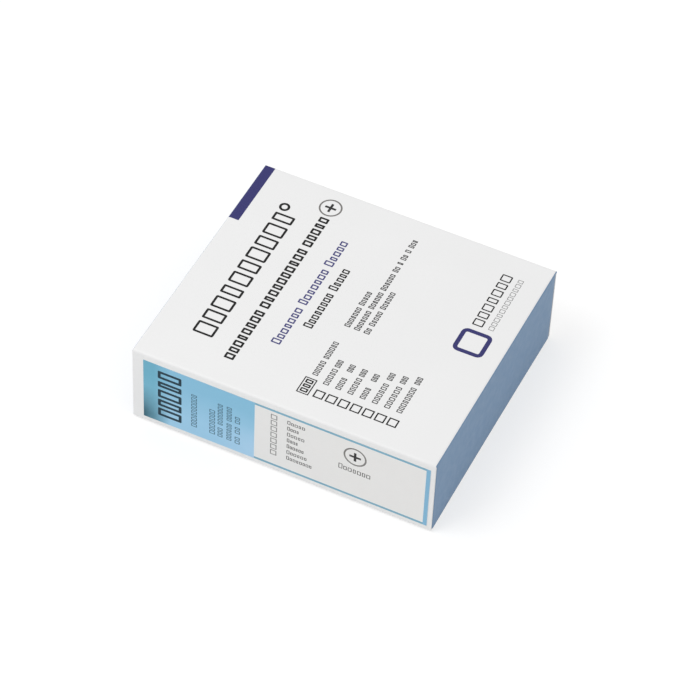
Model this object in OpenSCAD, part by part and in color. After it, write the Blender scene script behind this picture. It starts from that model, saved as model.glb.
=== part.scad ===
// Box of clipped-corner microscope slides: a folded boxboard tray, a full-depth
// lift-off lid with a paper label on its front wall, a foam spacer, and glass
// slides standing on their long edges in one row.
//
// X runs along the front wall, Y to the back, Z up. The origin is on the table,
// under the middle of the lid. The box is sized outwards from the glass.

/* [Slides] */
// Length of one slide, front to back
slide_l = 75; // [60:1:90]
// Width of one slide, upright in the box
slide_w = 25; // [18:1:40]
// Thickness of the glass
slide_t = 1; // [0.8:0.05:1.5]
// Leg of the 45 degree clip at each corner
corner_clip = 1.5; // [0.5:0.1:4]
// How many slides the box holds, an even number
slide_count = 72; // [24:2:96]
// Air between one slide and the next
slide_air = 0.05; // [0.02:0.01:0.2]

/* [Room in the tray] */
// Air between a slide's end and the front or back wall
end_air = 0.65; // [0.3:0.05:3]
// Air above the slides, under the lid
head_air = 1; // [0.5:0.1:3]
// Air at each end of the row and between the row and the spacer
row_air = 0.15; // [0.05:0.05:0.5]

/* [Foam spacer] */
// Thickness of the spacer along the row
spacer_t = 10.3; // [3:0.5:20]
// How far the spacer's top lies below the tray's rim
spacer_drop = 1; // [0.5:0.1:5]
// Air between the spacer and the front or back wall
spacer_air = 0.3; // [0.1:0.1:1]

/* [Boxboard] */
// Thickness of the boxboard
board_t = 0.5; // [0.4:0.05:0.9]
// Inner radius of the folds between a panel and its walls
fold_in = 0.2; // [0.1:0.1:1.5]
// Inner radius of the folds between a wall and its glue tabs
tab_fold_in = 0.2; // [0.1:0.1:0.6]
// Length of a glue tab behind the wall that it holds
tab_l = 16; // [8:1:25]
// How far a tab's free end narrows, at its top and at its foot
tab_taper = 2; // [0:0.5:5]
// Gap between a tab and the panel, and between it and the wall's cut edge
tab_gap = 0.8; // [0.5:0.1:2]
// How far the cut edge of a wall without tabs stops short of the corner
seam = 0.1; // [0.05:0.05:0.5]

/* [Lid] */
// Clearance between the lid's walls and the tray's, on each side
lid_gap = 0.35; // [0.2:0.05:1]
// Clearance between the tray's rim and the lid's top panel
seat_gap = 0.3; // [0.2:0.05:0.5]
// Height of the lid's lower edge above the table
lid_foot = 0.5; // [0.3:0.1:8]

/* [Front label] */
// Thickness of the label paper
label_t = 0.1; // [0.08:0.01:0.3]
// Margin between the label and the lid's left edge
left_margin = 3.4; // [1:0.1:8]
// Margin between the label and the lid's right edge
right_margin = 1.4; // [1:0.1:8]
// Margin between the label and the lid's lower edge
foot_margin = 1.5; // [1:0.1:5]
// Margin between the label and the lid's top
top_margin = 2.3; // [1:0.1:5]

/* [Hidden] */
$fn = 48;
// How far a cut reaches past the face that it opens
overcut = 1;
slide_pitch = slide_t + slide_air;
row_l = slide_count * slide_t + (slide_count - 1) * slide_air;
hold_l = row_l + spacer_t + 3 * row_air;
hold_d = slide_l + 2 * end_air;
// The tray's tabs lie inside its end walls, and the lid's inside its front and back
tray_w = hold_l + 4 * board_t;
tray_d = hold_d + 2 * board_t;
tray_h = board_t + slide_w + head_air - seat_gap;
box_w = tray_w + 2 * lid_gap + 2 * board_t;
box_d = tray_d + 2 * lid_gap + 4 * board_t;
box_h = tray_h + seat_gap + board_t;
row_x = -hold_l / 2 + row_air;
// Side of the square cutter, turned by 45 degrees, that clips a corner
clip_side = corner_clip * sqrt(2);
fold_r = fold_in + board_t;
tab_fold_r = tab_fold_in + board_t;
tab_root = board_t / 2;
pair_count = slide_count / 2;
function pair_name(k) = str("slide_pair_", k < 10 ? "0" : "", k);

// The right front corner's children, at all four corners
module at_corners() {
    for (mx = [0, 1], my = [0, 1]) mirror([mx, 0, 0]) mirror([0, my, 0]) children();
}

// Outline of a panel and its two upright walls, with rounded lower folds
module fold_outline(w, h, r) {
    translate([-w / 2 + r, 0]) square([w - 2 * r, h]);
    translate([-w / 2, r]) square([w, h - r]);
    for (side = [-1, 1]) translate([side * (w / 2 - r), r]) circle(r);
}

// Block standing on z = 0, with all four lower edges rounded
module fold_block(w, d, h, r) {
    intersection() {
        rotate([90, 0, 0]) linear_extrude(d, center = true) fold_outline(w, h, r);
        rotate([90, 0, 90]) linear_extrude(w, center = true) fold_outline(d, h, r);
    }
}

// Plan of what is missing at one outer corner: the wall turns inwards into its
// tab there, and the other wall's cut edge stops just short of the corner
module seam_outline(w, d) {
    turn_x = w / 2 - board_t - tab_fold_r;
    turn_y = d / 2 - tab_fold_r;
    difference() {
        translate([turn_x, turn_y]) square([w / 2 - turn_x + overcut, tab_fold_r + overcut]);
        translate([turn_x, turn_y]) circle(tab_fold_r);
        translate([w / 2 - board_t, 0]) square([board_t, d / 2 - seam]);
    }
}

// Side view of one glue tab, from the wall that it folds from
module tab_outline(h) {
    low = board_t + tab_gap;
    high = h - tab_gap;
    polygon([
        [-tab_root, low], [tab_l, low + tab_taper],
        [tab_l, high - tab_taper], [-tab_root, high]
    ]);
}

// One folded and glued blank: a panel on z = 0 with four upright walls. The two
// walls across Y carry glue tabs at both ends, which lie inside the other two.
module folded_blank(w, d, h) {
    difference() {
        union() {
            difference() {
                fold_block(w, d, h, fold_r);
                translate([0, 0, board_t])
                    fold_block(w - 2 * board_t, d - 2 * board_t, h, fold_in);
            }
            at_corners() translate([w / 2 - 2 * board_t, board_t - d / 2, 0])
                rotate([90, 0, 90]) linear_extrude(board_t + tab_root) tab_outline(h);
        }
        at_corners() translate([0, 0, fold_r]) linear_extrude(h)
            mirror([0, 1]) seam_outline(w, d);
    }
}

module tray() {
    color("Gainsboro") folded_blank(tray_w, tray_d, tray_h);
}

// The lid's tabs fold from its end walls, so that its front runs flat to the corners
module lid() {
    color("WhiteSmoke") translate([0, 0, box_h]) mirror([0, 0, 1])
        rotate(90) folded_blank(box_d, box_w, box_h - lid_foot);
}

// The label is stuck flat on the lid's front wall
module front_label() {
    color("SkyBlue")
        translate([left_margin - box_w / 2, -box_d / 2 - label_t, lid_foot + foot_margin])
            cube([
                box_w - left_margin - right_margin,
                label_t,
                box_h - top_margin - lid_foot - foot_margin
            ]);
}

module foam_spacer() {
    color("White")
        translate([hold_l / 2 - row_air - spacer_t, -hold_d / 2 + spacer_air, board_t])
            cube([spacer_t, hold_d - 2 * spacer_air, tray_h - board_t - spacer_drop]);
}

// Face of a slide, with its four corners clipped
module slide_outline() {
    difference() {
        square([slide_l, slide_w]);
        for (x = [0, slide_l], y = [0, slide_w])
            translate([x, y]) rotate(45)
                square(clip_side, center = true);
    }
}

// One slide, on its long edge on the tray's floor, counted from the left
module slide(i) {
    translate([row_x + i * slide_pitch, -slide_l / 2, board_t])
        rotate([90, 0, 90]) linear_extrude(slide_t) slide_outline();
}

// Two neighbouring slides
module slide_pair(k) {
    color("LightCyan") for (i = [2 * k - 2, 2 * k - 1]) slide(i);
}

lid();
front_label();
tray();
foam_spacer();
for (k = [1 : pair_count])
    slide_pair(k);
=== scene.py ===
"""Box of microscope slides: printed lid, paper label, tray, foam spacer and glass slides."""
from math import cos, pi, radians, sin, sqrt
from typing import NamedTuple

import bpy
import numpy as np
from mathutils import Matrix, Vector, noise
from mathutils.geometry import delaunay_2d_cdt


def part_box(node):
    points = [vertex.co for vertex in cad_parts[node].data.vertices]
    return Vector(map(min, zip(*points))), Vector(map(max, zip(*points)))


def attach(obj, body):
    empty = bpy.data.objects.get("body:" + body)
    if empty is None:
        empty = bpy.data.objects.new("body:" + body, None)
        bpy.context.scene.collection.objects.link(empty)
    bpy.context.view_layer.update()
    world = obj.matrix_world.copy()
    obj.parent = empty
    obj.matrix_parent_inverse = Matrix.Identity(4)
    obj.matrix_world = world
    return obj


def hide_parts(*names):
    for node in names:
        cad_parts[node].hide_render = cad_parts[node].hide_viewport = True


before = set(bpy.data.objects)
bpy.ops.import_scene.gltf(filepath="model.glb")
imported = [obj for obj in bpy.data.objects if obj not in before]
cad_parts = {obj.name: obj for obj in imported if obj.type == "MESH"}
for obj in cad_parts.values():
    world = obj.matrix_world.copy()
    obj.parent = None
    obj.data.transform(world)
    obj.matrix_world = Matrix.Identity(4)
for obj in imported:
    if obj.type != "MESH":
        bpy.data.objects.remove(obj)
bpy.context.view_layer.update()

# Sizes are in millimetres, and become metres where a mesh, a light or the camera is made
MM = 0.001


def cad_box(node):
    """Lowest and highest corner of a CAD node, in millimetres."""
    return [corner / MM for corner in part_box(node)]


LID_LOW, LID_HIGH = cad_box("lid")
TRAY_LOW, TRAY_HIGH = cad_box("tray")
LABEL_LOW, LABEL_HIGH = cad_box("front_label")
SPACER_LOW, SPACER_HIGH = cad_box("foam_spacer")
BOX_W = LID_HIGH.x - LID_LOW.x
BOX_D = LID_HIGH.y - LID_LOW.y
BOX_H = LID_HIGH.z
LID_DEPTH = LID_HIGH.z - LID_LOW.z
TRAY_W = TRAY_HIGH.x - TRAY_LOW.x
TRAY_D = TRAY_HIGH.y - TRAY_LOW.y
TRAY_H = TRAY_HIGH.z - TRAY_LOW.z
LABEL_W = LABEL_HIGH.x - LABEL_LOW.x
LABEL_H = LABEL_HIGH.z - LABEL_LOW.z
LABEL_T = LABEL_HIGH.y - LABEL_LOW.y

# The spacer stands on the tray's floor, so its foot is one board above the table
BOARD_T = SPACER_LOW.z
# Inner and outer radius of the folds beside a panel, and of those beside a glue tab
FOLD_IN = 0.2
FOLD_R = FOLD_IN + BOARD_T
TAB_FOLD_IN = 0.2
TAB_FOLD_R = TAB_FOLD_IN + BOARD_T
# Glue tabs: length, how far the free end narrows, and the gap above and below
TAB_L = 16
TAB_TAPER = 2
TAB_GAP = 0.8
# How far a wall without tabs stops short of the corner
SEAM = 0.1
# Space between two faces that are glued together
GLUE = 0.02
# How far the middle of a wall's cut edge leans in, and the middle of the lid's top dips
WALL_BOW = 0.12
PANEL_SAG = 0.2

# Steps round a fold, rows up a wall, and distance between the points that let a sheet bend
ARC_STEPS = 6
WALL_ROWS = 8
GRID = 4.0
# Flat band beside each fold, so that the fold's shading stays in the fold
FLAT_BAND = 0.4
# Two places that are no farther apart than this are one
CLOSE = 0.01


# ---------------------------------------------------------------- camera

# How far it stands round from the box's front, up from the table, and turned about its own axis
CAMERA_AZIMUTH = radians(23.35)
CAMERA_ELEVATION = radians(47.53)
CAMERA_ROLL = radians(3.09)
CAMERA_DISTANCE = 930
CAMERA_LENS = 173.9
# Where the camera aims, from the middle of the box
CAMERA_AIM_RIGHT = 1.15
CAMERA_AIM_UP = -1.99
# Nearest and farthest things that it shows
CAMERA_NEAR = 10
CAMERA_FAR = 20000


def make_camera():
    """Looks down on the box from its right front, turned a little about its own axis."""
    back = Vector((sin(CAMERA_AZIMUTH) * cos(CAMERA_ELEVATION),
                   -cos(CAMERA_AZIMUTH) * cos(CAMERA_ELEVATION),
                   sin(CAMERA_ELEVATION)))
    level = Vector((cos(CAMERA_AZIMUTH), sin(CAMERA_AZIMUTH), 0))
    upright = back.cross(level)
    right = level * cos(CAMERA_ROLL) + upright * sin(CAMERA_ROLL)
    up = upright * cos(CAMERA_ROLL) - level * sin(CAMERA_ROLL)
    aim = Vector((0, 0, BOX_H / 2)) + right * CAMERA_AIM_RIGHT + up * CAMERA_AIM_UP
    place = (aim + back * CAMERA_DISTANCE) * MM
    data = bpy.data.cameras.new("camera")
    data.lens = CAMERA_LENS
    data.clip_start = CAMERA_NEAR * MM
    data.clip_end = CAMERA_FAR * MM
    camera = bpy.data.objects.new("camera", data)
    camera.matrix_world = Matrix((
        (right.x, up.x, back.x, place.x),
        (right.y, up.y, back.y, place.y),
        (right.z, up.z, back.z, place.z),
        (0, 0, 0, 1),
    ))
    bpy.context.scene.collection.objects.link(camera)
    bpy.context.scene.camera = camera


# ---------------------------------------------------------------- materials

# Span in which nearly all of a noise texture's values lie, and a wider one with less contrast
NOISE_SPAN = (0.3, 0.7)
SOFT_SPAN = (0.25, 0.75)
# Span of a value that has been remapped
FULL_SPAN = (0, 1)


class Nodes:
    """A material's nodes: its Principled shader, and textures laid out by Object coordinates."""

    def __init__(self, name):
        self.material = bpy.data.materials.new(name)
        self.material.use_nodes = True
        self.tree = self.material.node_tree
        self.shader = self.tree.nodes["Principled BSDF"]
        self.place = self.tree.nodes.new("ShaderNodeTexCoord").outputs["Object"]

    def add(self, kind, **settings):
        """Adds a node of a kind with these settings."""
        node = self.tree.nodes.new(kind)
        for key, value in settings.items():
            setattr(node, key, value)
        return node

    def link(self, source, target):
        self.tree.links.new(source, target)

    def noise(self, size, detail, stretch=(1, 1, 1)):
        """Noise whose features are about size millimetres across."""
        mapping = self.add("ShaderNodeMapping")
        mapping.inputs["Scale"].default_value = [s / (size * MM) for s in stretch]
        self.link(self.place, mapping.inputs["Vector"])
        texture = self.add("ShaderNodeTexNoise")
        texture.inputs["Scale"].default_value = 1
        texture.inputs["Detail"].default_value = detail
        self.link(mapping.outputs["Vector"], texture.inputs["Vector"])
        return texture.outputs["Fac"]

    def remap(self, value, low=0, high=1, span=NOISE_SPAN):
        """Spreads a value that lies within a span so that it runs from low to high."""
        node = self.add("ShaderNodeMapRange")
        settings = {"From Min": span[0], "From Max": span[1], "To Min": low, "To Max": high}
        for key, number in settings.items():
            node.inputs[key].default_value = number
        self.link(value, node.inputs["Value"])
        return node.outputs["Result"]

    def multiply(self, first, second):
        """Product of two sockets."""
        node = self.add("ShaderNodeMath", operation="MULTIPLY")
        self.link(first, node.inputs[0])
        self.link(second, node.inputs[1])
        return node.outputs[0]

    def mix(self, factor, first, second, blend="MIX"):
        """Colour that runs from first to second. Each is a colour or a socket."""
        node = self.add("ShaderNodeMix", data_type="RGBA", blend_type=blend)
        for key, value in (("A", first), ("B", second)):
            if isinstance(value, bpy.types.NodeSocket):
                self.link(value, node.inputs[key])
            else:
                node.inputs[key].default_value = (*value, 1)
        self.link(factor, node.inputs["Factor"])
        return node.outputs["Result"]

    def bump(self, height, depth, before=None):
        """Bump of depth millimetres."""
        node = self.add("ShaderNodeBump")
        node.inputs["Strength"].default_value = 1
        node.inputs["Distance"].default_value = depth * MM
        self.link(height, node.inputs["Height"])
        if before:
            self.link(before, node.inputs["Normal"])
        return node.outputs["Normal"]

    def finish(self, colour, roughness, normal=None):
        """Links the shader's inputs and returns the material."""
        self.link(colour, self.shader.inputs["Base Color"])
        self.link(roughness, self.shader.inputs["Roughness"])
        if normal:
            self.link(normal, self.shader.inputs["Normal"])
        return self.material


def shade(colour, factor):
    """The colour times a factor, up to full strength."""
    return tuple(min(1.0, part * factor) for part in colour)


# Sheen of coated board and of ink on it
PRINT_SHEEN = 0.2


def printed_finish(name, colour, patch):
    """Clay-coated board or paper, bare or with ink on it: an even sheet with faint clouding, whose
    strength is patch, and a fine tooth."""
    n = Nodes(name)
    clouds = n.remap(n.noise(18, 2))
    grain = n.remap(n.noise(0.55, 4), span=SOFT_SPAN)
    body = n.mix(clouds, shade(colour, 1 - patch / 2), shade(colour, 1 + patch / 2))
    body = n.mix(grain, body, shade(colour, 1 - patch * 0.35))
    rough = n.remap(n.noise(2.5, 3), 0.45, 0.57)
    tooth = n.bump(n.noise(0.35, 3), 0.006)
    waves = n.bump(n.noise(14, 2), 0.02, tooth)
    n.shader.inputs["Specular IOR Level"].default_value = PRINT_SHEEN
    return n.finish(body, rough, waves)


SKY = (0.342, 0.604, 0.81)
SKY_TOP = (0.241, 0.518, 0.714)
SKY_RIGHT = (0.40, 0.634, 0.843)
# Painted shade: what the sky field's colour is multiplied by at its left edge, and in its lower
# left corner
LEFT_PAINTED_SHADE = (0.60, 0.82, 0.80)
CORNER_PAINTED_SHADE = (0.12, 0.22, 0.24)


def sky_ink_with_painted_shade():
    """Sky-blue ink that darkens up and lightens towards the lower right, with painted shade that
    darkens it to the left and in the lower left corner."""
    n = Nodes("ink_sky")
    split = n.add("ShaderNodeSeparateXYZ")
    n.link(n.place, split.inputs["Vector"])

    def ramp(axis, start, end):
        """Runs from 0 at start to 1 at end, in millimetres from the label's lower left corner."""
        low = LABEL_LOW["XYZ".index(axis)]
        return n.remap(split.outputs[axis], span=((low + start) * MM, (low + end) * MM))

    body = n.mix(ramp("Z", 6, 18), SKY, SKY_TOP)
    body = n.mix(n.multiply(ramp("X", 20, 33), ramp("Z", 12, 4)), body, SKY_RIGHT)
    # Painted shade: the ink is darkened towards the left edge, and most in the lower left corner
    body = n.mix(ramp("X", 8.2, 3.2), body, LEFT_PAINTED_SHADE, "MULTIPLY")
    corner = n.multiply(ramp("X", 8, 0), ramp("Z", 13, 2))
    body = n.mix(corner, body, CORNER_PAINTED_SHADE, "MULTIPLY")
    grain = n.remap(n.noise(0.5, 4), 0, 0.05, SOFT_SPAN)
    body = n.mix(grain, body, shade(SKY, 1.15))
    rough = n.remap(n.noise(2.5, 3), 0.38, 0.48)
    n.shader.inputs["Specular IOR Level"].default_value = PRINT_SHEEN
    return n.finish(body, rough, n.bump(n.noise(0.35, 3), 0.005))


def liner_finish():
    """The board's uncoated inner face, with fibres and flecks."""
    liner = (0.74, 0.73, 0.70)
    n = Nodes("board_liner")
    fibres = n.remap(n.noise(0.5, 5, (1, 0.25, 1)))
    flecks = n.remap(n.noise(0.28, 2), 0, 0.5, (0.68, 0.74))
    body = n.mix(fibres, shade(liner, 0.93), shade(liner, 1.07))
    body = n.mix(flecks, body, shade(liner, 0.6))
    rough = n.remap(fibres, 0.78, 0.9, FULL_SPAN)
    return n.finish(body, rough, n.bump(fibres, 0.02))


def edge_finish():
    """Cut edge of the board, where its pulp shows in thin layers."""
    core = (0.76, 0.755, 0.74)
    n = Nodes("board_edge")
    layers = n.remap(n.noise(0.16, 3))
    body = n.mix(layers, shade(core, 0.93), shade(core, 1.07))
    rough = n.remap(layers, 0.85, 0.95, FULL_SPAN)
    return n.finish(body, rough, n.bump(layers, 0.03))


GLASS_IOR = 1.52


def glass_finish():
    """Clear, faintly green glass with a trace of a film on it."""
    n = Nodes("slide_glass")
    film = n.remap(n.noise(6, 2), 0.01, 0.05, (0.35, 0.7))
    tint = n.mix(n.noise(30, 1), (0.93, 0.985, 0.97), (0.96, 0.99, 0.985))
    n.shader.inputs["IOR"].default_value = GLASS_IOR
    n.shader.inputs["Transmission Weight"].default_value = 1
    return n.finish(tint, film)


def ground_finish():
    """Ground glass edge: pale green and matt."""
    n = Nodes("ground_glass_edge")
    grain = n.remap(n.noise(0.12, 3))
    body = n.mix(grain, (0.50, 0.68, 0.63), (0.70, 0.83, 0.79))
    n.shader.inputs["IOR"].default_value = GLASS_IOR
    n.shader.inputs["Transmission Weight"].default_value = 0.35
    rough = n.remap(grain, 0.35, 0.55, FULL_SPAN)
    return n.finish(body, rough, n.bump(grain, 0.01))


def frost_finish():
    """White coating on the slide's writing end."""
    n = Nodes("frosted_end")
    grain = n.remap(n.noise(0.1, 4))
    body = n.mix(grain, (0.80, 0.80, 0.79), (0.88, 0.88, 0.87))
    rough = n.remap(grain, 0.6, 0.8, FULL_SPAN)
    return n.finish(body, rough, n.bump(grain, 0.008))


# Distance between the seams of the foam's cells
FOAM_CELL = 0.8


def foam_finish():
    """Closed-cell polyethylene foam: soft white cells with dark seams between them."""
    n = Nodes("white_foam")
    cells = n.add("ShaderNodeTexVoronoi", feature="DISTANCE_TO_EDGE")
    cells.inputs["Scale"].default_value = 1 / (FOAM_CELL * MM)
    n.link(n.place, cells.inputs["Vector"])
    seams = n.remap(cells.outputs["Distance"], span=(0, 0.22))
    body = n.mix(seams, (0.80, 0.81, 0.81), (0.90, 0.90, 0.89))
    rough = n.remap(seams, 0.7, 0.45, FULL_SPAN)
    n.shader.inputs["Subsurface Weight"].default_value = 0.15
    n.shader.inputs["Subsurface Scale"].default_value = 1.5 * MM
    return n.finish(body, rough, n.bump(seams, 0.05))


MATERIALS = {
    "white": printed_finish("board_white", (0.84, 0.84, 0.84), patch=0.025),
    "end_blue": printed_finish("ink_end_blue", (0.165, 0.268, 0.412), patch=0.05),
    "indigo": printed_finish("ink_indigo", (0.037, 0.036, 0.152), patch=0.08),
    "indigo_text": printed_finish("ink_indigo_text", (0.058, 0.058, 0.20), patch=0.08),
    "black": printed_finish("ink_black", (0.008, 0.008, 0.008), patch=0.12),
    "grey": printed_finish("ink_grey", (0.03, 0.03, 0.03), patch=0.1),
    "mid": printed_finish("ink_mid_grey", (0.20, 0.192, 0.185), patch=0.08),
    "pale": printed_finish("ink_pale_grey", (0.22, 0.22, 0.22), patch=0.06),
    "label_white": printed_finish("label_white", (0.825, 0.82, 0.81), patch=0.025),
    "sky": sky_ink_with_painted_shade(),
    "sky_bar": printed_finish("ink_sky_bar", (0.235, 0.48, 0.68), patch=0.05),
    "sky_text": printed_finish("ink_sky_text", (0.05, 0.13, 0.19), patch=0.08),
    "label_black": printed_finish("ink_label_black", (0.008, 0.035, 0.055), patch=0.1),
    "steel": printed_finish("ink_steel_blue", (0.21, 0.43, 0.56), patch=0.06),
    "liner": liner_finish(),
    "edge": edge_finish(),
    "glass": glass_finish(),
    "ground": ground_finish(),
    "frost": frost_finish(),
    "foam": foam_finish(),
}


# ---------------------------------------------------------------- meshes

# Decimals of a millimetre to which two points of a sheet are the same
WELD_DIGITS = 4


class Sheet:
    """A sheet with two faces. Each point has a place on the outer face and one on the inner."""

    def __init__(self, place=lambda point: point):
        """place turns a point of the sheet into one of the box."""
        self.place = place
        self.outer = []
        self.inner = []
        self.faces = []
        self.inks = []
        self.index = {}

    def point(self, outer, inner):
        """Number of the point with this place on the outer face."""
        key = tuple(round(c, WELD_DIGITS) for c in outer)
        if key not in self.index:
            self.index[key] = len(self.outer)
            self.outer.append(outer)
            self.inner.append(inner)
        return self.index[key]

    def face(self, points, ink):
        """Adds a face, without points that it repeats, unless too few are left."""
        points = [p for i, p in enumerate(points) if p != points[i - 1]]
        if len(points) > 2:
            self.faces.append(points)
            self.inks.append(ink)

    def strip(self, rows, ink):
        """Adds the faces between rows of points. ink is given the row's and the column's number."""
        for r in range(len(rows) - 1):
            for c in range(len(rows[r]) - 1):
                quad = [rows[r][c], rows[r][c + 1], rows[r + 1][c + 1], rows[r + 1][c]]
                self.face(quad, ink(r, c))

    def build(self, name, back, rim):
        """Closes the sheet with its inner face in ink back and its cut edges in ink rim."""
        count = len(self.outer)
        faces = self.faces + [[i + count for i in reversed(f)] for f in self.faces]
        inks = self.inks + [back] * len(self.faces)
        edges = {(f[i - 1], f[i]) for f in self.faces for i in range(len(f))}
        for a, b in sorted(edges):
            if (b, a) not in edges:
                faces.append([b, a, a + count, b + count])
                inks.append(rim)
        points = [self.place(p) for p in self.outer + self.inner]
        return make_piece(name, points, faces, inks)


def make_piece(name, points, faces, inks, sharp=35):
    """One mesh object in metres, with a material slot for each ink that it uses. Edges of more than
    sharp degrees aren't smoothed."""
    mesh = bpy.data.meshes.new(name)
    mesh.from_pydata([Vector(p) * MM for p in points], [], faces)
    used = sorted(set(inks))
    for ink in used:
        mesh.materials.append(MATERIALS[ink])
    mesh.polygons.foreach_set("material_index", [used.index(ink) for ink in inks])
    mesh.polygons.foreach_set("use_smooth", [True] * len(faces))
    mesh.update()
    turn_outwards(mesh)
    mesh.set_sharp_from_angle(angle=radians(sharp))
    piece = bpy.data.objects.new(name, mesh)
    bpy.context.scene.collection.objects.link(piece)
    return piece


def turn_outwards(mesh):
    """Turns a closed mesh's faces outwards, by the sign of its volume."""
    mesh.calc_loop_triangles()
    volume = 0
    for triangle in mesh.loop_triangles:
        a, b, c = (mesh.vertices[i].co for i in triangle.vertices)
        volume += a.dot(b.cross(c))
    if volume < 0:
        mesh.flip_normals()


def finish_piece(piece, body, slot, *nodes):
    """Gives a piece its body, and hides the CAD nodes that it stands for. The slot argument is not
    used.
    """
    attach(piece, body)
    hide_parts(*nodes)


# ---------------------------------------------------------------- print

# A printed shape is a list of (u, v) and an ink. Later shapes cover earlier ones.

# Steps in a quarter turn, at a rounded corner and in a ring
CORNER_STEPS = 4
RING_STEPS = 10


def rounded(u0, v0, u1, v1, r, steps=CORNER_STEPS):
    """Corners of a rectangle with rounded corners, in order."""
    r = min(r, (u1 - u0) / 2, (v1 - v0) / 2)
    if r <= 0:
        return [(u0, v0), (u1, v0), (u1, v1), (u0, v1)]
    points = []
    middles = ((u1 - r, v0 + r), (u1 - r, v1 - r), (u0 + r, v1 - r), (u0 + r, v0 + r))
    for corner, (u, v) in enumerate(middles):
        for k in range(steps + 1):
            a = radians(90 * (corner - 1) + 90 * k / steps)
            points.append((u + r * cos(a), v + r * sin(a)))
    return points


def bar(u0, v0, u1, v1, ink):
    """A filled rectangle."""
    return [(rounded(u0, v0, u1, v1, 0), ink)]


def outline(u0, v0, u1, v1, line, ink, ground, r=0):
    """A frame of one line's width, with the ground's ink inside it."""
    inside = rounded(u0 + line, v0 + line, u1 - line, v1 - line, max(0, r - line))
    return [(rounded(u0, v0, u1, v1, r), ink), (inside, ground)]


def ring(u, v, r, line, ink, ground):
    """A ring round u, v, with the ground's ink inside it."""
    shapes = []
    for size, fill in ((r, ink), (r - line, ground)):
        shapes.append((rounded(u - size, v - size, u + size, v + size, size, RING_STEPS), fill))
    return shapes


def ring_mark(u, v, r, line, ground):
    """A ring round a plus sign."""
    arm = r * 0.5
    half = r * 0.11
    shapes = ring(u, v, r, line, "mid", ground)
    shapes += bar(u - arm, v - half, u + arm, v + half, "grey")
    return shapes + bar(u - half, v - arm, u + half, v + arm, "grey")


# Widths of the blocks along a line, as shares of their pitch
BLOCK_WIDTHS = (0.84, 0.72, 0.84, 0.6, 0.8, 0.68)
# Radius of a block's corners, as a share of its shorter side
BLOCK_CORNER = 0.12


class Lettering(NamedTuple):
    """How a line of blank blocks looks. The first block of a group is tall, and the others are
    small times as tall. gap is the space between groups, in blocks. An upright line runs up v,
    and any other along u."""
    tall: float
    line: float
    ink: str
    ground: str = "white"
    small: float = 1
    gap: float = 0.75
    upright: bool = True


def blocks(u, v, end, counts, style):
    """Groups of blank blocks from u, v to end, each a frame round the ground's ink. The line is
    centred on u if it is upright, and on v if it isn't, and its blocks stand on one foot."""
    start = v if style.upright else u
    pitch = (end - start) / (sum(counts) + style.gap * (len(counts) - 1))
    shapes = []
    for group, count in enumerate(counts):
        for place in range(count):
            number = sum(counts[:group]) + place
            wide = pitch * BLOCK_WIDTHS[number % len(BLOCK_WIDTHS)]
            size = style.tall * (style.small if place else 1)
            margin = (pitch * max(BLOCK_WIDTHS) - wide) / 2
            at = start + pitch * (number + style.gap * group) + margin
            if style.upright:
                foot = u + style.tall / 2
                box = (foot - size, at, foot, at + wide)
            else:
                foot = v - style.tall / 2
                box = (at, foot, at + wide, foot + size)
            corner = min(wide, size) * BLOCK_CORNER
            shapes += outline(*box, style.line, style.ink, style.ground, corner)
    return shapes


# Indigo bar in the lid's back left corner: its width, and where it starts from the front
INDIGO_W = 3.35
INDIGO_START = 56.5

# Tick boxes: side, line width and distance between rows, on the lid and on the label
LID_TICK = 2.9
LID_TICK_LINE = 0.42
LID_ROW_PITCH = 3.6
LABEL_TICK = 1.9
LABEL_TICK_LINE = 0.28
LABEL_ROW_PITCH = 2.4

# How each kind of line looks
TITLE = Lettering(6.2, 0.7, "black")
SUBTITLE = Lettering(2.9, 0.65, "black", gap=0.4)
INDIGO_LINE = Lettering(2.8, 0.45, "indigo_text", small=0.75, gap=0.65)
BLACK_LINE = Lettering(2.8, 0.45, "black", small=0.75, gap=0.7)
CONTENTS = Lettering(1.75, 0.3, "grey", small=0.85)
ORDER_WORD = Lettering(2.2, 0.45, "black")
ORDER_LINE = Lettering(1.65, 0.28, "grey")
MAKER = Lettering(3.15, 0.4, "black")
MAKER_FOOT = Lettering(1.6, 0.2, "pale")
COUNT = Lettering(7.2, 0.9, "label_black", "sky")
SKY_LINE = Lettering(1.5, 0.24, "sky_text", "sky")
SKY_TALL_LINE = SKY_LINE._replace(tall=1.7)
COLOUR_NAME = Lettering(1.45, 0.2, "grey", "label_white", small=0.75, upright=False)
RING_WORD = Lettering(2, 0.22, "grey", "label_white", small=0.75, upright=False)


def lid_titles():
    """The large lines, with a ring after the first and a ringed mark after the second."""
    shapes = blocks(14.1, 13.6, 66, (10,), TITLE)
    shapes += ring(12.4, 67.2, 1.6, 0.75, "black", "white")
    shapes += blocks(24.4, 8.9, 69, (8, 10, 5), SUBTITLE)
    shapes += ring_mark(24, 72.8, 3.35, 0.5, "white")
    shapes += blocks(33, 19.8, 63.1, (7, 7, 5), INDIGO_LINE)
    return shapes + blocks(38.1, 29.1, 53.7, (8, 5), BLACK_LINE)


def lid_contents():
    """Three small lines that start together."""
    start = 34.3
    shapes = blocks(47.5, start, 49, (7, 5), CONTENTS)
    shapes += blocks(50.4, start, 72.6, (7, 6, 6, 2, 1, 2, 1, 3), CONTENTS)
    return shapes + blocks(53.3, start, 51.7, (2, 5, 6), CONTENTS)


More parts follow.
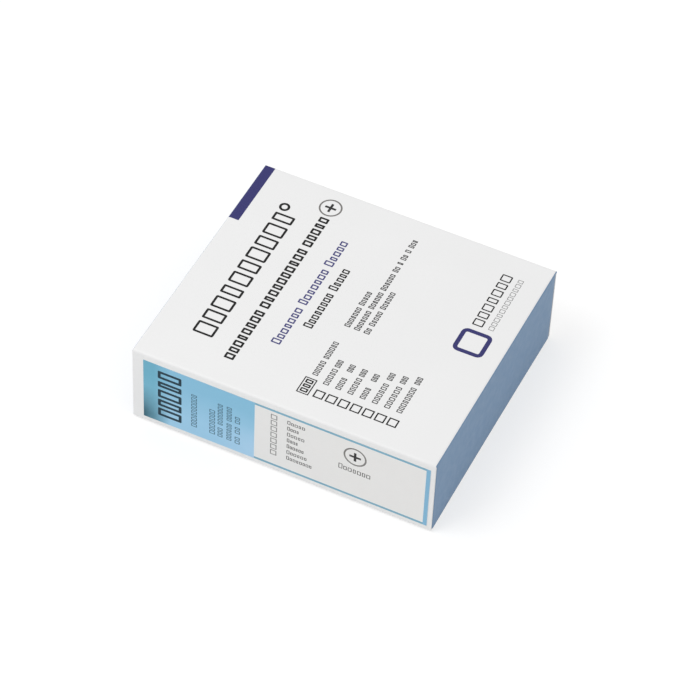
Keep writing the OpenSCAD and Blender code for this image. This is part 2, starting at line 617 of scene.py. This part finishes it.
def lid_order_table():
    """A framed word and its line, over rows of a tick box, a name and a short code."""
    shapes = outline(45.6, 6.8, 49.2, 12.9, 0.35, "grey", "white")
    shapes += blocks(47.4, 7.5, 12.5, (3,), ORDER_WORD)
    shapes += blocks(47.6, 14.3, 28, (5, 6), ORDER_LINE)
    tick_start = 7.1
    name_start = 12.5
    code_l = 2.9
    # Each row's name: how many blocks, and where it ends, and then where the row's code starts
    rows = ((5, 19, 19.6), (4, 17.3, 19.6), (5, 19, 19.6), (4, 17, 19.5),
            (6, 20.6, 21.8), (6, 21.2, 22.3), (8, 22.6, 23.8))
    for k, (count, end, code) in enumerate(rows):
        u = 50.3 + LID_ROW_PITCH * k
        middle = u + 1.35
        tick = (u, tick_start, u + LID_TICK, tick_start + LID_TICK)
        shapes += outline(*tick, LID_TICK_LINE, "black", "white")
        shapes += blocks(middle, name_start, end, (count,), ORDER_LINE)
        shapes += blocks(middle, code, code + code_l, (3,), ORDER_LINE)
    return shapes


def lid_maker_place():
    """The maker's place: an empty square frame, and two lines beside it."""
    shapes = outline(75.8, 40, 84.8, 49, 1.3, "indigo", "white", 1.8)
    shapes += blocks(78.8, 50.8, 72.4, (7,), MAKER)
    return shapes + blocks(82.8, 50.9, 72.3, (12,), MAKER_FOOT)


def lid_print():
    """The lid's top: u runs from its left edge, v from its front edge."""
    corner = bar(0, INDIGO_START, INDIGO_W, BOX_D, "indigo")
    return corner + lid_titles() + lid_contents() + lid_order_table() + lid_maker_place()


# Width of the label's sky field, of the rules round the rest and of the bar at its right end
SKY_W = 33.6
RULE = 0.8
RULE_END = 1.2


def label_fields():
    """The sky field at the left, and rules round the white field at the right."""
    shapes = bar(0, 0, LABEL_W, LABEL_H, "steel")
    shapes += bar(0, 0, SKY_W, LABEL_H, "sky")
    shapes += bar(LABEL_W - RULE_END, 0, LABEL_W, LABEL_H, "sky_bar")
    return shapes + bar(SKY_W, RULE, LABEL_W - RULE_END, LABEL_H - RULE, "label_white")


def label_sky_lines():
    """A large line, a small one, and a group of four."""
    shapes = blocks(8, 2.6, 21.2, (5,), COUNT)
    shapes += blocks(15.4, 3.3, 16.6, (10,), SKY_TALL_LINE)
    shapes += blocks(20.9, 3.3, 13.3, (7,), SKY_TALL_LINE)
    shapes += blocks(23.3, 3.3, 16.9, (3, 7), SKY_LINE)
    shapes += blocks(26, 3.3, 16.9, (6, 5), SKY_LINE)
    return shapes + blocks(28.5, 3.1, 14.3, (2, 2, 2), SKY_LINE)


def label_rows():
    """Rows of a tick box and a name, from the top down."""
    shapes = []
    tick_start = 38.4
    name_start = 43.3
    # Each row's name: how many blocks, and where it ends
    rows = ((5, 48.7), (4, 46.9), (5, 48.6), (4, 46.7), (6, 48.5), (6, 49.5), (8, 51))
    for k, (count, end) in enumerate(rows):
        v = 19.8 - LABEL_ROW_PITCH * k
        tick = (tick_start, v - LABEL_TICK / 2, tick_start + LABEL_TICK, v + LABEL_TICK / 2)
        shapes += outline(*tick, LABEL_TICK_LINE, "pale", "label_white")
        shapes += blocks(name_start, v, end, (count,), COLOUR_NAME)
    return shapes


def label_print():
    """The front label: u runs from its left edge, v from its lower edge."""
    mark = ring_mark(63.4, 16.3, 3.4, 0.5, "label_white")
    word = blocks(58.7, 10.7, 68.3, (7,), RING_WORD)
    return label_fields() + label_sky_lines() + label_rows() + mark + word


# The grid's points keep this far from the edge of a printed patch
EDGE_CLEAR = 0.5
# delaunay_2d_cdt: keep the triangles inside the loops, and the distance at which points are one
INSIDE_LOOPS = 1
LOOP_WELD = 1e-5


def printed_patch(sheet, edge, shapes, ground, locate):
    """Fills the space inside edge, a list of (u, v), with faces in the shapes' inks, on a ground.
    Every GRID millimetres it adds a point, so that the sheet can bend. locate turns u and v into a
    place on the outer face and one on the inner face."""
    low_u, high_u = min(u for u, v in edge), max(u for u, v in edge)
    low_v, high_v = min(v for u, v in edge), max(v for u, v in edge)
    points = list(edge)
    loops = [list(range(len(edge)))]
    inks = [ground]
    for shape, ink in shapes:
        loops.append([len(points) + k for k in range(len(shape))])
        points += [(min(max(u, low_u), high_u), min(max(v, low_v), high_v)) for u, v in shape]
        inks.append(ink)
    for u in np.arange(GRID, high_u - EDGE_CLEAR, GRID):
        for v in np.arange(GRID, high_v - EDGE_CLEAR, GRID):
            if u > low_u + EDGE_CLEAR and v > low_v + EDGE_CLEAR:
                points.append((u, v))
    flat = [Vector(p) for p in points]
    found, _, faces, _, _, owners = delaunay_2d_cdt(flat, [], loops, INSIDE_LOOPS, LOOP_WELD)
    places = [sheet.point(*locate(p.x, p.y)) for p in found]
    for face, owner in zip(faces, owners):
        # owner lists the loops round a face, and the last of them is on top
        sheet.face([places[i] for i in reversed(face)], inks[max(owner)])


# An even stop nearer to an extra one than this share of a step is left out
STOP_CLEAR = 0.3


def stops(low, high, step, extra=()):
    """Numbers from low to high about a step apart, with the extra ones among them."""
    count = max(1, round((high - low) / step))
    even = [low + (high - low) * k / count for k in range(count + 1)]
    kept = [s for s in even
            if s in (low, high) or all(abs(s - e) > step * STOP_CLEAR for e in extra)]
    return sorted(kept + [e for e in extra if low < e < high])


def rectangle(us, vs):
    """Points round a rectangle, with a point at each of the us and the vs."""
    edge = [(u, vs[0]) for u in us[:-1]] + [(us[-1], v) for v in vs[:-1]]
    return edge + [(u, vs[-1]) for u in us[:0:-1]] + [(us[0], v) for v in vs[:0:-1]]


# ---------------------------------------------------------------- folded board

# Parts of a glue tab's length at which it has a column of points
TAB_PARTS = (0.05, 0.3, 0.65, 1)


def wall_bow(part, z, h):
    """How far a wall leans in, at a part of its half length and at height z above the panel that it
    folds from. Its cut edge is at height h."""
    return WALL_BOW * (1 - part * part) * sin((z - FOLD_R) / (h - FOLD_R) * pi / 2)


class Column(NamedTuple):
    """A column of points up a tabbed wall or its tab: its place on the outer and on the inner face,
    its lowest and highest z, and the end wall that it leans with: -1, 1 or, away from both, 0."""
    out_x: float
    out_y: float
    in_x: float
    in_y: float
    low: float
    high: float
    end: int


class FoldedBlank:
    """A panel at z = 0 with four walls, folded from one sheet of board. The two walls across Y
    carry glue tabs at both ends, which lie inside the other two."""

    def __init__(self, w, d, h, place=lambda point: point, x_stops=(), y_stops=()):
        """place turns a point of the blank into one of the box. The stops are where a change of
        ink crosses a fold."""
        self.sheet = Sheet(place)
        self.w = w
        self.d = d
        self.h = h
        self.half_w = w / 2
        self.half_d = d / 2
        # Where the tabbed walls turn into their tabs
        self.tab_x = self.half_w - BOARD_T - GLUE - TAB_FOLD_R
        x_stops = (-self.tab_x, self.tab_x, *x_stops)
        self.across = stops(FOLD_R - self.half_w, self.half_w - FOLD_R, GRID, x_stops)
        self.along = stops(FOLD_R - self.half_d, self.half_d - FOLD_R, GRID, y_stops)
        # Heights of a wall's rows of points, as parts of its height above the fold
        self.levels = [0, FLAT_BAND / (h - FOLD_R)]
        self.levels += [k / WALL_ROWS for k in range(1, WALL_ROWS + 1)]

    def panel(self, shapes, sag):
        """The panel, with its printed shapes. Its middle dips by sag."""
        def locate(u, v):
            x, y = u - self.half_w, v - self.half_d
            part_x, part_y = x / (self.half_w - FOLD_R), y / (self.half_d - FOLD_R)
            dip = sag * (1 - part_x ** 2) * (1 - part_y ** 2)
            return (x, y, dip), (x, y, dip + BOARD_T)

        edge = [(x + self.half_w, y + self.half_d) for x, y in rectangle(self.across, self.along)]
        inset = FOLD_R + FLAT_BAND
        band = bar(inset, inset, self.w - inset, self.d - inset, "white")
        printed_patch(self.sheet, edge, band + shapes, "white", locate)

    def fold_point(self, x, y, side_x, side_y, turn):
        """Point of a fold at an angle. side_x and side_y say which ways it leans."""
        out, inside = FOLD_R * sin(turn), FOLD_IN * sin(turn)
        outer = (x + side_x * out, y + side_y * out, FOLD_R - FOLD_R * cos(turn))
        inner = (x + side_x * inside, y + side_y * inside, FOLD_R - FOLD_IN * cos(turn))
        return self.sheet.point(outer, inner)

    def folds(self, ink):
        """The four folds round the panel. ink(tabbed, x, y, turn) gives the ink of a face from the
        kind of its wall, its place along the fold and its angle."""
        turns = [pi / 2 * k / ARC_STEPS for k in range(ARC_STEPS + 1)]
        for side_x, side_y in ((0, -1), (1, 0), (0, 1), (-1, 0)):
            tabbed = side_x == 0
            if tabbed:
                line = [(x, self.along[0] if side_y < 0 else self.along[-1]) for x in self.across]
            else:
                line = [(self.across[0] if side_x < 0 else self.across[-1], y) for y in self.along]
            if side_x < 0 or side_y > 0:
                line = line[::-1]
            rows = []
            for turn in turns:
                # At a corner the fold leans both ways
                row = [self.fold_point(*line[0], *np.sign(line[0]), turn)]
                row += [self.fold_point(x, y, side_x, side_y, turn) for x, y in line[1:-1]]
                row.append(self.fold_point(*line[-1], *np.sign(line[-1]), turn))
                rows.append(row)
            middles = [((p[0] + q[0]) / 2, (p[1] + q[1]) / 2) for p, q in zip(line, line[1:])]
            self.sheet.strip(rows, lambda r, c: ink(tabbed, *middles[c], turns[r]))

    def plain_walls(self, ink):
        """The two walls without tabs."""
        for sign in (-1, 1):
            grid = []
            for level in self.levels:
                z = FOLD_R + (self.h - FOLD_R) * level
                # A cut end meets the corner at the fold, and stops short of it above
                if level > 0:
                    outer_end = inner_end = self.half_d - SEAM
                else:
                    outer_end, inner_end = self.half_d, self.half_d - BOARD_T
                outer_ys = [-outer_end, *self.along[1:-1], outer_end]
                inner_ys = [-inner_end, *self.along[1:-1], inner_end]
                row = []
                for outer_y, inner_y in zip(outer_ys, inner_ys):
                    x = self.half_w - wall_bow(outer_y / self.half_d, z, self.h)
                    outer = (sign * x, outer_y, z)
                    inner = (sign * (x - BOARD_T), inner_y, z)
                    row.append(self.sheet.point(outer, inner))
                grid.append(row if sign > 0 else row[::-1])
            self.sheet.strip(grid, lambda r, c: ink)

    def tab_columns(self, end):
        """Columns of a glue tab, from its fold to its free end."""
        columns = []
        for k in range(1, ARC_STEPS + 1):
            turn = pi / 2 * k / ARC_STEPS
            out_x = end * (self.tab_x + TAB_FOLD_R * sin(turn))
            out_y = self.half_d - TAB_FOLD_R * (1 - cos(turn))
            in_x = end * (self.tab_x + TAB_FOLD_IN * sin(turn))
            in_y = self.half_d - TAB_FOLD_R + TAB_FOLD_IN * cos(turn)
            columns.append(Column(out_x, out_y, in_x, in_y, FOLD_R + SEAM, self.h, end))
        x = self.tab_x + TAB_FOLD_R
        for part in TAB_PARTS:
            y = self.half_d - TAB_FOLD_R - TAB_L * part
            low = BOARD_T + TAB_GAP + TAB_TAPER * part
            high = self.h - TAB_GAP - TAB_TAPER * part
            columns.append(Column(end * x, y, end * (x - BOARD_T), y, low, high, end))
        return columns

    def tabbed_walls(self, ink):
        """The two walls across Y, with their glue tabs."""
        wall = [Column(x, self.half_d, x, self.half_d - BOARD_T, FOLD_R, self.h, 0)
                for x in self.across if abs(x) <= self.tab_x + CLOSE]
        columns = self.tab_columns(-1)[::-1] + wall + self.tab_columns(1)
        for sign in (-1, 1):
            grid = []
            for level in self.levels:
                row = []
                for c in columns:
                    z = c.low + (c.high - c.low) * level
                    to_x = c.end * wall_bow(c.out_y / self.half_d, z, self.h)
                    to_y = 0 if c.end else wall_bow(c.out_x / self.half_w, z, self.h)
                    outer = (c.out_x - to_x, sign * (c.out_y - to_y), z)
                    inner = (c.in_x - to_x, sign * (c.in_y - to_y), z)
                    row.append(self.sheet.point(outer, inner))
                grid.append(row if sign < 0 else row[::-1])
            self.sheet.strip(grid, lambda r, c: ink)

    def build(self, name):
        """Makes the piece, with bare liner on the inside and pulp at the cut edges."""
        return self.sheet.build(name, "liner", "edge")


# The indigo bar's edges on the lid's blank
INDIGO_X = INDIGO_START - BOX_D / 2
INDIGO_Y = INDIGO_W - BOX_W / 2
# Angle round the fold past which the lid's ends are blue: just short of half way
BLUE_TURN = radians(44)


def lid_fold_ink(tabbed, x, y, turn):
    """The indigo bar runs over the folds that it meets, and the ends' blue starts half way
    round."""
    if tabbed and turn >= BLUE_TURN:
        return "end_blue"
    return "indigo" if x > INDIGO_X and y < INDIGO_Y else "white"


def lid_place(point):
    """Turns the lid's blank over, with its X along the box's Y, so that its tabbed walls are the
    box's ends."""
    x, y, z = point
    return y, x, BOX_H - z


def make_lid():
    """White board with blue ends, and the print on its top."""
    blank = FoldedBlank(BOX_D, BOX_W, LID_DEPTH, lid_place, (INDIGO_X,), (INDIGO_Y,))
    # The blank's X and Y are the print's v and u
    shapes = [([(v, u) for u, v in reversed(shape)], ink) for shape, ink in lid_print()]
    blank.panel(shapes, PANEL_SAG)
    blank.folds(lid_fold_ink)
    blank.plain_walls("white")
    blank.tabbed_walls("end_blue")
    finish_piece(blank.build("printed_lid"), "lid", "printed_board", "lid")


def make_tray():
    """Plain white board."""
    blank = FoldedBlank(TRAY_W, TRAY_D, TRAY_H)
    blank.panel([], 0)
    blank.folds(lambda tabbed, x, y, turn: "white")
    blank.plain_walls("white")
    blank.tabbed_walls("white")
    finish_piece(blank.build("folded_tray"), "tray", "plain_board", "tray")


# ---------------------------------------------------------------- label

def make_label():
    """The label follows the bow of the wall that it is stuck on."""
    sheet = Sheet()

    def locate(u, v):
        x, z = LABEL_LOW.x + u, LABEL_LOW.z + v
        y = LABEL_LOW.y + wall_bow(x / (BOX_W / 2), BOX_H - z, LID_DEPTH)
        return (x, y, z), (x, y + LABEL_T - GLUE, z)

    edge = rectangle(stops(0, LABEL_W, GRID), stops(0, LABEL_H, GRID))
    printed_patch(sheet, edge, label_print(), "label_white", locate)
    label = sheet.build("printed_front_label", "label_white", "label_white")
    finish_piece(label, "lid", "label_paper", "front_label")


# ---------------------------------------------------------------- slides

# Length of the coated end, and width of the bevel on each ground edge
FROST_L = 20
ARRIS = 0.1
# Points round a slide. Two of them, on the long edges, are where the coating ends.
SLIDE_POINTS = 10
COATED_PART = (0, 1, 2, 7, 8, 9)
CLEAR_PART = (2, 3, 4, 5, 6, 7)
# Edges of that ring on the coated end
COATED_EDGES = (0, 1, 7, 8, 9)


def slide_ring(low, high, clip, x, inset):
    """Points round a slide at x, from its lower front corner. inset is how far in they lie."""
    y0, y1 = low.y + inset, high.y - inset
    z0, z1 = low.z + inset, high.z - inset
    c = clip - inset * (2 - sqrt(2))
    coat = low.y + FROST_L
    lower = [(y0, z0 + c), (y0 + c, z0), (coat, z0), (y1 - c, z0), (y1, z0 + c)]
    upper = [(y1, z1 - c), (y1 - c, z1), (coat, z1), (y0 + c, z1), (y0, z1 - c)]
    return [(x, y, z) for y, z in lower + upper]


def add_slide(low, high, clip, points, faces, inks):
    """Adds one upright slide between two corners, with its corners clipped, a bevel on its edges
    and a coated front end. The coating is on its left face."""
    base = len(points)
    rings = ((low.x, ARRIS), (low.x + ARRIS, 0), (high.x - ARRIS, 0), (high.x, ARRIS))
    for x, inset in rings:
        points.extend(slide_ring(low, high, clip, x, inset))
    for level in range(len(rings) - 1):
        start = base + level * SLIDE_POINTS
        for k in range(SLIDE_POINTS):
            a, b = start + k, start + (k + 1) % SLIDE_POINTS
            faces.append([a, b, b + SLIDE_POINTS, a + SLIDE_POINTS])
            inks.append("frost" if level == 0 and k in COATED_EDGES else "ground")
    last = base + (len(rings) - 1) * SLIDE_POINTS
    for part, ink in ((COATED_PART, "frost"), (CLEAR_PART, "glass")):
        faces.append([base + k for k in reversed(part)])
        inks.append(ink)
    for part in (COATED_PART, CLEAR_PART):
        faces.append([last + k for k in part])
        inks.append("glass")


def make_slides():
    """Each piece is a CAD node's pair of slides, at the places that its mesh gives."""
    for node in sorted(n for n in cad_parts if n.startswith("slide_pair_")):
        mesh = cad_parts[node].data
        low, high = cad_box(node)
        left_1, right_1, left_2, right_2 = sorted({round(v.co.x / MM, 3) for v in mesh.vertices})
        # The lower edge starts where the clipped corner ends
        foot = min(v.co.y / MM for v in mesh.vertices if v.co.z / MM < low.z + CLOSE)
        points, faces, inks = [], [], []
        for left, right in ((left_1, right_1), (left_2, right_2)):
            near, far = Vector((left, low.y, low.z)), Vector((right, high.y, high.z))
            add_slide(near, far, foot - low.y, points, faces, inks)
        name = node.replace("slide_pair", "glass_slides")
        slides = make_piece(name, points, faces, inks, sharp=20)
        finish_piece(slides, "tray", "slide_glass", node)


# ---------------------------------------------------------------- foam

# Distance between the slab's points, radius of its edges, how deep its dents are and how wide
FOAM_GRID = 0.9
FOAM_EDGE = 0.5
FOAM_DEPTH = 0.12
FOAM_DENT = 1.3


def make_foam():
    """A slab cut from foam sheet, with soft edges and cells that stand a little in and out."""
    size = SPACER_HIGH - SPACER_LOW
    middle = (SPACER_HIGH + SPACER_LOW) / 2
    counts = [max(2, round(s / FOAM_GRID)) for s in size]
    index, points, faces = {}, [], []

    def spot(cell):
        """Number of the point at a cell of the slab's grid."""
        if cell not in index:
            flat = Vector([size[k] * (cell[k] / counts[k] - 0.5) for k in range(3)])
            limits = [size[k] / 2 - FOAM_EDGE for k in range(3)]
            core = Vector([max(-limits[k], min(limits[k], flat[k])) for k in range(3)])
            out = (flat - core).normalized()
            dent = FOAM_DEPTH * (0.5 + 0.5 * noise.noise(flat / FOAM_DENT))
            index[cell] = len(points)
            points.append(middle + core + out * (FOAM_EDGE - dent))
        return index[cell]

    for axis in range(3):
        one, two = (axis + 1) % 3, (axis + 2) % 3
        for end in (0, counts[axis]):
            for i in range(counts[one]):
                for j in range(counts[two]):
                    quad = []
                    for a, b in ((0, 0), (1, 0), (1, 1), (0, 1)):
                        cell = [0, 0, 0]
                        cell[axis], cell[one], cell[two] = end, i + a, j + b
                        quad.append(spot(tuple(cell)))
                    faces.append(quad if end else quad[::-1])
    foam = make_piece("cut_foam_spacer", points, faces, ["foam"] * len(faces), sharp=60)
    finish_piece(foam, "tray", "foam", "foam_spacer")


# ---------------------------------------------------------------- stage

# Half the floor's side, and how far it lies below the box, so that the two share no plane
FLOOR_HALF = 3000
FLOOR_DROP = 0.02
FLOOR_TONE = 0.84
# Share of white in the floor where it shows, and that white's strength
FLOOR_WHITE = 0.45
WHITE_STRENGTH = 1.3
WORLD_LIGHT = 0.73
# Place, side and power in watts of the two lights
KEY_LIGHT = ((-500, -500, 1100), 700, 5.9)
FILL_LIGHT = ((1350, 300, 260), 900, 2.0)


def shown_rays(tree):
    """1 for the rays that show the background: the camera's, and those in gloss and glass."""
    path = tree.nodes.new("ShaderNodeLightPath")
    result = path.outputs["Is Camera Ray"]
    for kind in ("Is Glossy Ray", "Is Transmission Ray"):
        node = tree.nodes.new("ShaderNodeMath")
        node.operation = "MAXIMUM"
        tree.links.new(result, node.inputs[0])
        tree.links.new(path.outputs[kind], node.inputs[1])
        result = node.outputs[0]
    return result


def mix_to_output(tree, share, first, second, output):
    """Links an output node to two shaders, mixed by the second one's share."""
    mix = tree.nodes.new("ShaderNodeMixShader")
    tree.links.new(share, mix.inputs["Fac"])
    tree.links.new(first.outputs[0], mix.inputs[1])
    tree.links.new(second.outputs[0], mix.inputs[2])
    tree.links.new(mix.outputs[0], tree.nodes[output].inputs["Surface"])


def floor_material():
    """Pale and matt, with a share of white where it shows."""
    material = bpy.data.materials.new("floor")
    material.use_nodes = True
    tree = material.node_tree
    shader = tree.nodes["Principled BSDF"]
    shader.inputs["Base Color"].default_value = (FLOOR_TONE, FLOOR_TONE, FLOOR_TONE, 1)
    shader.inputs["Roughness"].default_value = 0.9
    shader.inputs["Specular IOR Level"].default_value = 0
    share = tree.nodes.new("ShaderNodeMath")
    share.operation = "MULTIPLY"
    share.inputs[1].default_value = FLOOR_WHITE
    tree.links.new(shown_rays(tree), share.inputs[0])
    white = tree.nodes.new("ShaderNodeEmission")
    white.inputs["Strength"].default_value = WHITE_STRENGTH
    mix_to_output(tree, share.outputs[0], shader, white, "Material Output")
    return material


def make_floor():
    """A large square."""
    sides = ((-1, -1), (1, -1), (1, 1), (-1, 1))
    corners = [Vector((x * FLOOR_HALF, y * FLOOR_HALF, -FLOOR_DROP)) * MM for x, y in sides]
    mesh = bpy.data.meshes.new("floor")
    mesh.from_pydata(corners, [], [[0, 1, 2, 3]])
    mesh.materials.append(floor_material())
    floor = bpy.data.objects.new("floor", mesh)
    bpy.context.scene.collection.objects.link(floor)


def make_world():
    """White where it shows, and a softer even light on the object."""
    world = bpy.data.worlds.new("studio")
    bpy.context.scene.world = world
    world.use_nodes = True
    tree = world.node_tree
    light = tree.nodes["Background"]
    white = tree.nodes.new("ShaderNodeBackground")
    for node, strength in ((light, WORLD_LIGHT), (white, 1)):
        node.inputs["Color"].default_value = (1, 1, 1, 1)
        node.inputs["Strength"].default_value = strength
    mix_to_output(tree, shown_rays(tree), light, white, "World Output")


def area_light(name, place, side, power):
    """A square soft light that faces the box."""
    data = bpy.data.lights.new(name, "AREA")
    data.size = side * MM
    data.energy = power
    light = bpy.data.objects.new(name, data)
    light.location = Vector(place) * MM
    light.rotation_euler = (-light.location).to_track_quat("-Z", "Y").to_euler()
    bpy.context.scene.collection.objects.link(light)


make_camera()
make_world()
make_floor()
area_light("key", *KEY_LIGHT)
area_light("fill", *FILL_LIGHT)
make_lid()
make_label()
make_tray()
make_slides()
make_foam()

bpy.context.scene.view_settings.view_transform = "Standard"
